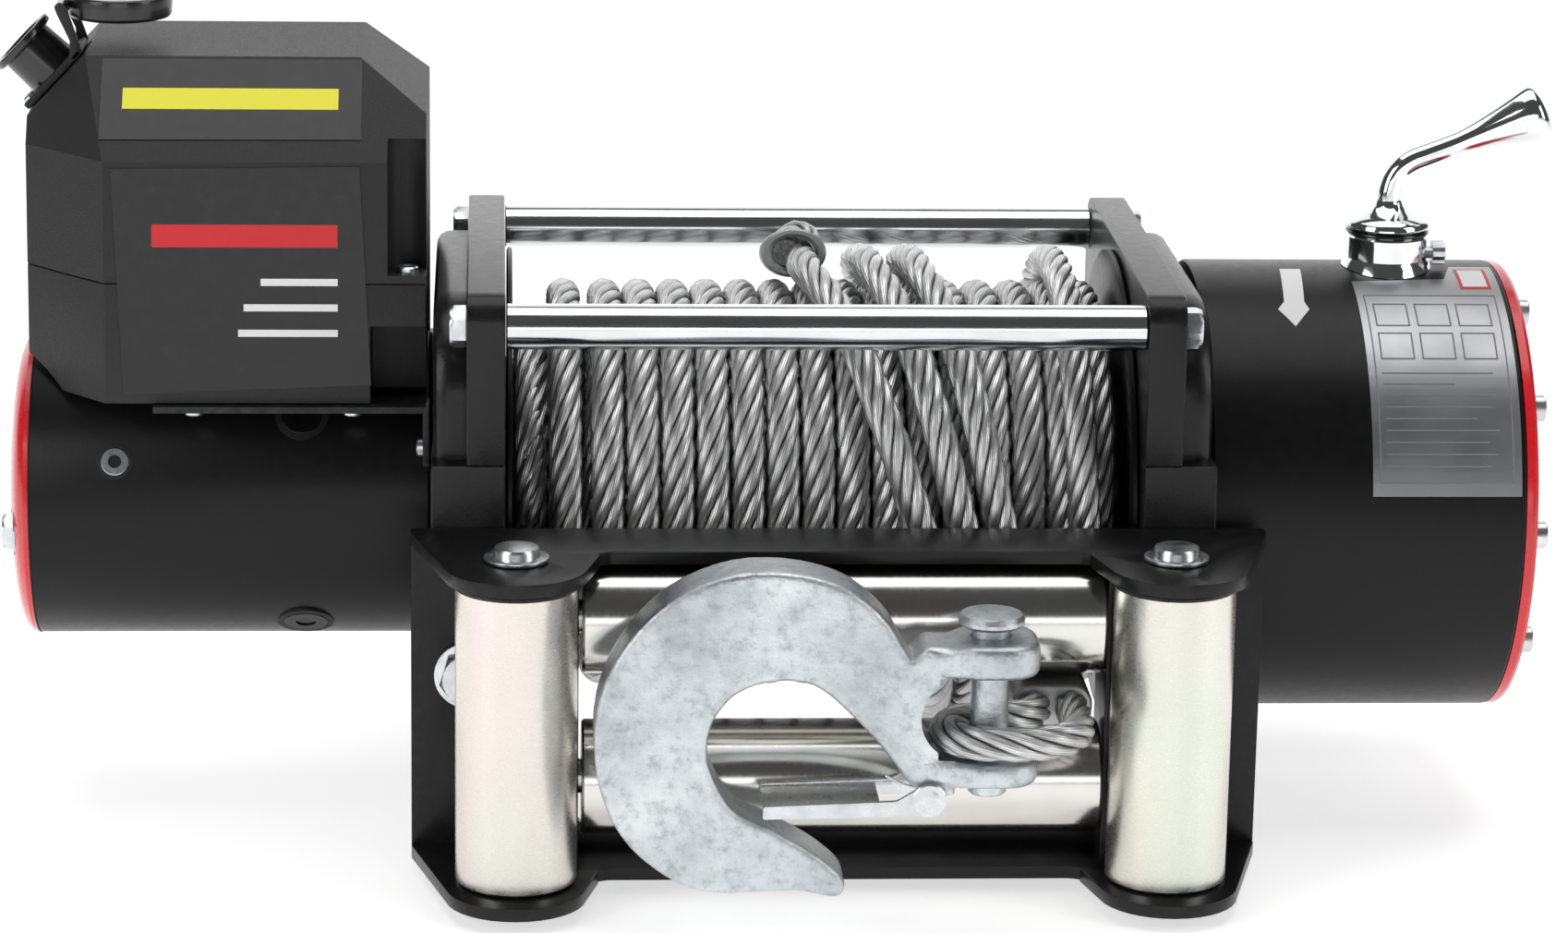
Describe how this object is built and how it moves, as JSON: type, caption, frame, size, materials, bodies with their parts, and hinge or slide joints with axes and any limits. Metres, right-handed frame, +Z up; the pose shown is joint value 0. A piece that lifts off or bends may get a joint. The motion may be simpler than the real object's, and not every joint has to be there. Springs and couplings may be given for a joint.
{
  "type": "electric recovery winch",
  "caption": "Foot-mounted electric winch with wire rope drum, planetary gearbox, control box, roller fairlead and clevis hook, for pulling loads or vehicles.",
  "frame": {"origin": "centre of the four foot bolt positions, on the plane the end plates' feet stand on", "axes": "+X along the drum axis from the motor to the gearbox, -Y towards the rope side and fairlead, +Z up"},
  "size_m": [0.5653, 0.2716, 0.2943],
  "materials": {
    "plate_paint": "satin black coating on cast plates",
    "drum_paint": "satin black",
    "motor_paint": "smooth satin black powder coat",
    "gearbox_paint": "smooth satin black powder coat",
    "red_cover": "gloss red",
    "chrome": "polished chrome plate",
    "zinc_fastener": "bright zinc plated steel",
    "bushing_bronze": "sintered bronze",
    "copper": "copper windings",
    "machined_steel": "machined steel, oiled",
    "wire_rope": "galvanised stranded wire rope",
    "crimp_zinc": "pressed sleeve",
    "rubber": "black rubber",
    "box_plastic": "fine textured black plastic",
    "bracket_paint": "satin black sheet steel",
    "roller_nickel": "satin nickel plated rollers",
    "roller_chrome": "bright plated rollers",
    "pin_steel": "turned steel with dark ends",
    "hook_zinc": "zinc plated forging",
    "latch_zinc": "zinc plated pressing",
    "pin_zinc": "zinc plated pin"
  },
  "bodies": {
    "frame": {"end_plate_motor_side": "plate_paint", "end_plate_gearbox_side": "plate_paint", "tie_bar_front": "chrome", "tie_bar_rear": "chrome", "tie_bar_bolt_front_left": "zinc_fastener", "tie_bar_bolt_front_right": "zinc_fastener", "tie_bar_bolt_rear_left": "zinc_fastener", "tie_bar_bolt_rear_right": "zinc_fastener", "drum_bushing_left": "bushing_bronze", "drum_bushing_right": "bushing_bronze", "motor_housing": "motor_paint", "motor_end_cover": "red_cover", "motor_through_bolt_front": "zinc_fastener", "motor_through_bolt_rear": "zinc_fastener", "motor_field_frame": "copper", "gear_housing": "gearbox_paint", "gear_end_cover": "red_cover", "gear_cover_screw_1": "zinc_fastener", "gear_cover_screw_2": "zinc_fastener", "gear_cover_screw_3": "zinc_fastener", "gear_cover_screw_4": "zinc_fastener", "ring_gear": "machined_steel", "clutch_base": "chrome", "clutch_seal_ring": "rubber", "control_box_base": "box_plastic", "control_box_cover": "box_plastic", "contactor": "bushing_bronze", "control_box_bracket": "bracket_paint", "remote_socket": "box_plastic", "fairlead_frame": "bracket_paint", "fairlead_pin_left": "pin_steel", "fairlead_pin_right": "pin_steel", "fairlead_pin_upper": "pin_steel", "fairlead_pin_lower": "pin_steel", "fairlead_bolt_left": "zinc_fastener", "fairlead_bolt_right": "zinc_fastener", "rope_lead": "wire_rope", "rope_eye_sleeve": "crimp_zinc", "rope_eye": "wire_rope"},
    "drum_body": {"drum": "drum_paint", "rope_winding": "wire_rope", "rope_outer_turns": "wire_rope", "rope_end_sleeve": "crimp_zinc", "planet_carrier": "machined_steel"},
    "rotor": {"motor_armature": "copper", "drive_shaft": "machined_steel"},
    "planet_1": {"planet_gear_1": "machined_steel"},
    "planet_2": {"planet_gear_2": "machined_steel"},
    "planet_3": {"planet_gear_3": "machined_steel"},
    "clutch_handle": {"clutch_lever": "chrome"},
    "clutch_pin": {"clutch_plunger": "machined_steel"},
    "lock_screw": {"clutch_lock_screw": "zinc_fastener"},
    "cap": {"socket_cap": "rubber"},
    "roller_left": {"fairlead_roller_left": "roller_nickel"},
    "roller_right": {"fairlead_roller_right": "roller_nickel"},
    "roller_upper": {"fairlead_roller_upper": "roller_chrome"},
    "roller_lower": {"fairlead_roller_lower": "roller_chrome"},
    "hook": {"hook_body": "hook_zinc", "clevis_pin": "pin_zinc"},
    "latch": {"hook_latch": "latch_zinc"}
  },
  "joints": [
    {"name": "drum_spin", "type": "hinge", "parent": "frame", "child": "drum_body", "pos_m": [0, 0, 0.088], "axis": [1, 0, 0], "continuous": true},
    {"name": "motor_spin", "type": "hinge", "parent": "frame", "child": "rotor", "pos_m": [-0.2, 0, 0.088], "axis": [1, 0, 0], "continuous": true},
    {"name": "planet_spin_1", "type": "hinge", "parent": "drum_body", "child": "planet_1", "pos_m": [0.168, 0, 0.1165], "axis": [1, 0, 0], "continuous": true},
    {"name": "planet_spin_2", "type": "hinge", "parent": "drum_body", "child": "planet_2", "pos_m": [0.168, -0.02468, 0.07375], "axis": [1, 0, 0], "continuous": true},
    {"name": "planet_spin_3", "type": "hinge", "parent": "drum_body", "child": "planet_3", "pos_m": [0.168, 0.02468, 0.07375], "axis": [1, 0, 0], "continuous": true},
    {"name": "clutch_turn", "type": "hinge", "parent": "frame", "child": "clutch_handle", "pos_m": [0.2115, 0, 0.1845], "axis": [0, 0, 1], "range_deg": [0, 90]},
    {"name": "clutch_lift", "type": "slide", "parent": "frame", "child": "clutch_pin", "axis": [0, 0, 1], "range_m": [0, 0.004]},
    {"name": "lock_screw_turn", "type": "hinge", "parent": "frame", "child": "lock_screw", "pos_m": [0.228, -0.006, 0.1765], "axis": [1, 0, 0], "continuous": true},
    {"name": "cap_hinge", "type": "hinge", "parent": "frame", "child": "cap", "pos_m": [-0.27091, 0.012, 0.26292], "axis": [0, -1, 0], "range_deg": [0, 226.5]},
    {"name": "roller_left_spin", "type": "hinge", "parent": "frame", "child": "roller_left", "pos_m": [-0.1083, -0.135, 0.036], "axis": [0, 0, 1], "continuous": true},
    {"name": "roller_right_spin", "type": "hinge", "parent": "frame", "child": "roller_right", "pos_m": [0.1183, -0.135, 0.036], "axis": [0, 0, 1], "continuous": true},
    {"name": "roller_upper_spin", "type": "hinge", "parent": "frame", "child": "roller_upper", "pos_m": [0.005, -0.114, 0.0702], "axis": [1, 0, 0], "continuous": true},
    {"name": "roller_lower_spin", "type": "hinge", "parent": "frame", "child": "roller_lower", "pos_m": [0.005, -0.114, 0.0118], "axis": [1, 0, 0], "continuous": true},
    {"name": "hook_swing", "type": "hinge", "parent": "frame", "child": "hook", "pos_m": [0.0525, -0.158, 0.042], "axis": [0, 0, 1], "range_deg": [0, 85]},
    {"name": "latch_open", "type": "hinge", "parent": "hook", "child": "latch", "pos_m": [0.0316, -0.158, 0.0214], "axis": [0, 1, 0], "range_deg": [0, 20], "stiffness_Nm_per_rad": 0.3, "springref_deg": -14.32}
  ],
  "couplings": [
    {"joint": "motor_spin", "follows": "drum_spin", "ratio": 5},
    {"joint": "planet_spin_1", "follows": "drum_spin", "ratio": -2.6667},
    {"joint": "planet_spin_2", "follows": "drum_spin", "ratio": -2.6667},
    {"joint": "planet_spin_3", "follows": "drum_spin", "ratio": -2.6667},
    {"joint": "clutch_lift", "follows": "clutch_turn", "m_per_rad": 0.0025465}
  ]
}
